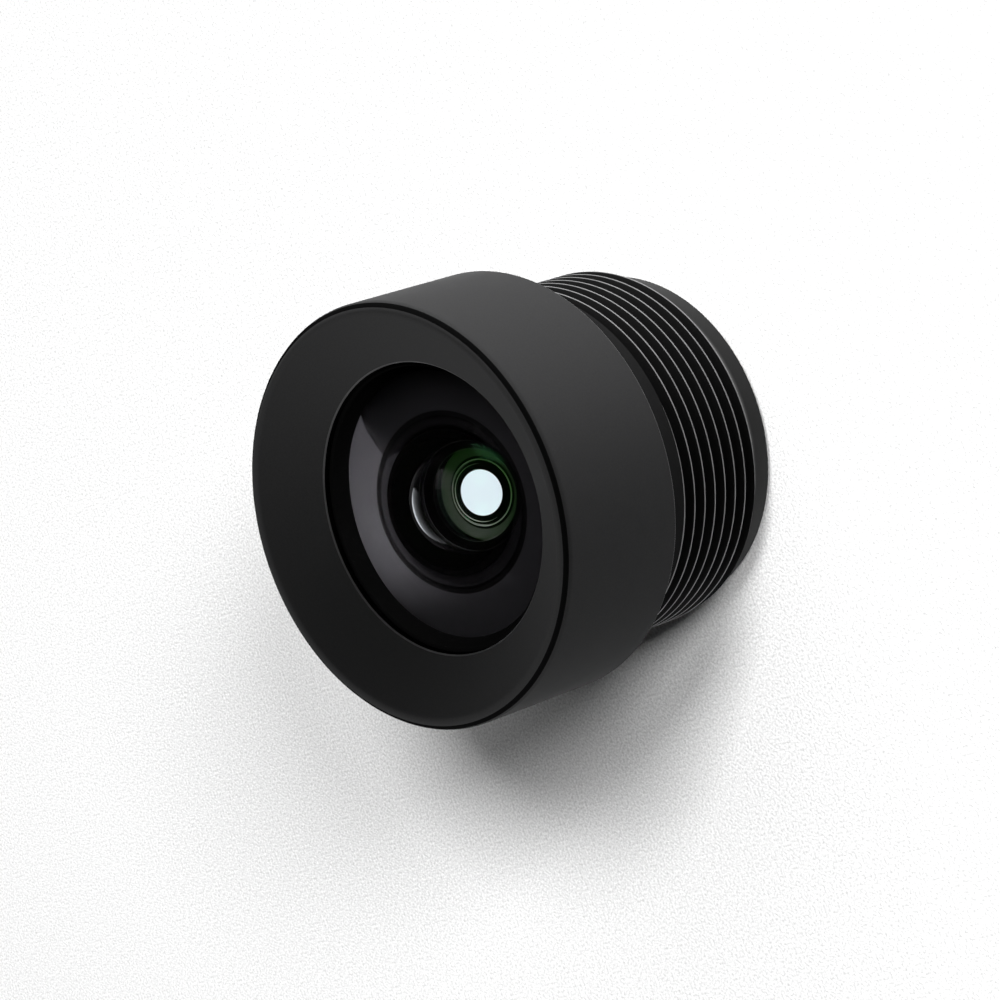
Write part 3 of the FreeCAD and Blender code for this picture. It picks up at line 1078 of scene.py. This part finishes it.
# %% [markdown]
# ## Lamps for the table and for the barrel
#
# The shadow in the photograph is dark and fairly sharp near the object and fades out over a long way. One lamp can't
# give both, so three lamps do it: two of middle size low and high beside the camera, and a broad one from one side.
# Their directions and sizes come from how fast the shadow gets paler. Two more lamps shine on the barrel alone: a long
# flat one near the table draws the pale edges, and one from behind lights the sunk cone. These two are at a plain
# level, at which a colour renders about as it is written. The sheet gets about a third more than that, so that its lit
# part turns white as in the photograph.

# %% Soft lamps
lights_only(soft_lamp("low_lamp", (0.25, -0.82, 0.52), 0.60, (0.16, 0.16), 3.2), outside)
lights_only(soft_lamp("high_lamp", (0.38, -0.53, 0.76), 0.60, (0.15, 0.15), 3.4), outside)
lights_only(soft_lamp("broad_lamp", (0.68, -0.24, 0.69), 0.60, (0.42, 0.42), 1.3), not_the_barrel)
edge_lamp = soft_lamp("edge_lamp", (0.98, -0.17, 0.02), 0.30, (0.20, 0.01), 1.6, along=(0.17, 0.98, 0))
edge_lamp.visible_glossy = True
lights_only(edge_lamp, [turned_barrel])
lights_only(soft_lamp("cone_lamp", (-0.4, 0.5, 0.77), 0.30, (0.15, 0.15), 0.78), [turned_barrel])

# %% [markdown]
# ## The straight border on the land
#
# The land behind the front glass is lit on one side of a straight border, where a flag cuts the light off. A spot on
# the lens axis does this with nodes: the slope of each ray tells where it would meet the land. The light stops
# sharply at a line there and fades out to one side. It lights the front glass alone.

# %% Flagged spot
BORDER_TILT = 0.69
BORDER_OFFSET = 0.61
FADE_FROM = 0.3
FADE_TO = 2.8


def flagged_spot(name, height, power, pieces):
    """Spot on the lens axis behind a straight-edged flag; sizes on the land are in millimetres."""
    data = bpy.data.lights.new(name, "SPOT")
    data.energy = power
    data.spot_size = math.radians(20)
    data.shadow_soft_size = 0.0
    data.use_nodes = True
    lamp = bpy.data.objects.new(name, data)
    scene.collection.objects.link(lamp)
    lamp.location = (0, 0, height)
    lamp.visible_glossy = False
    tree = data.node_tree
    ray = add(tree, "ShaderNodeTexCoord", {})
    parts = add(tree, "ShaderNodeSeparateXYZ", {"Vector": ray.outputs["Normal"]}).outputs
    x_slope, y_slope = [add(tree, "ShaderNodeMath", {0: parts[part], 1: parts["Z"]}, operation="DIVIDE").outputs[0]
                        for part in ("X", "Y")]
    reach = height / MM - rear_of("element_1")
    border = add(tree, "ShaderNodeMath", {
        0: x_slope, 1: BORDER_TILT, 2: -BORDER_OFFSET / reach}, operation="MULTIPLY_ADD")
    lit_side = add(tree, "ShaderNodeMath", {0: border.outputs[0], 1: y_slope}, operation="GREATER_THAN")
    fade = add(tree, "ShaderNodeMapRange", {
        "Value": x_slope, "From Min": FADE_FROM / reach, "From Max": FADE_TO / reach, "To Min": 1.0, "To Max": 0.0,
    }, interpolation_type="SMOOTHSTEP")
    both = add(tree, "ShaderNodeMath", {0: lit_side.outputs[0], 1: fade.outputs["Result"]}, operation="MULTIPLY")
    fill(tree, tree.nodes["Emission"], {"Strength": both.outputs[0]})
    lights_only(lamp, pieces)
    return lamp


spot = flagged_spot("flagged_spot", 0.06, 0.2, [big_glass])
print("made", spot.name)

# %% [markdown]
# ## The green glow inside
#
# Coated faces throw a little green light back and forth, and it lights the rings round the light hole. Following it
# ray by ray takes very long, so a faint green lamp between the glasses stands for it and lights these rings alone.

# %% Inner glow
def inner_glow(name, height, power, colour, pieces):
    """The light that the coated faces throw back inside the lens."""
    data = bpy.data.lights.new(name, "POINT")
    data.energy = power
    data.color = colour
    data.shadow_soft_size = 0.0003
    lamp = bpy.data.objects.new(name, data)
    scene.collection.objects.link(lamp)
    lamp.location = (0, 0, height)
    lamp.visible_glossy = False
    lights_only(lamp, pieces)
    return lamp


glow = inner_glow("inner_glow", front_of("element_2") * MM, 0.00017, (0.16, 1.0, 0.05), inner_rings)
print("made", glow.name)

# %% [markdown]
# ## The air of the studio
#
# The room itself gives a little even light from all sides. It would fill the shadow and veil the glass, so it is
# weaker for light that comes off a matt surface, and weaker still for light that came through glass.

# %% World
ROOM_LEVEL = 0.25
weaker_levels = {"Is Transmission Ray": 0.04 * ROOM_LEVEL, "Is Diffuse Ray": 0.1 * ROOM_LEVEL}

world = bpy.data.worlds.new("studio_air")
scene.world = world
world.use_nodes = True
air = world.node_tree
path = add(air, "ShaderNodeLightPath", {})
level = ROOM_LEVEL
for kind, weaker in weaker_levels.items():
    level = add(air, "ShaderNodeMapRange", {
        "Value": path.outputs[kind], "To Min": level, "To Max": weaker}).outputs["Result"]
fill(air, air.nodes["Background"], {"Color": (1, 1, 1, 1), "Strength": level})
print("the room gives", ROOM_LEVEL)

# %% [markdown]
# ## Picture settings
#
# Light crosses fourteen polished faces before it reaches the sheet, so the rays need enough turns.

# %% Render settings and finish
scene.view_settings.view_transform = "Standard"
scene.cycles.max_bounces = 32
scene.cycles.transmission_bounces = 32
scene.cycles.glossy_bounces = 8
scene.cycles.diffuse_bounces = 4
scene.cycles.transparent_max_bounces = 32
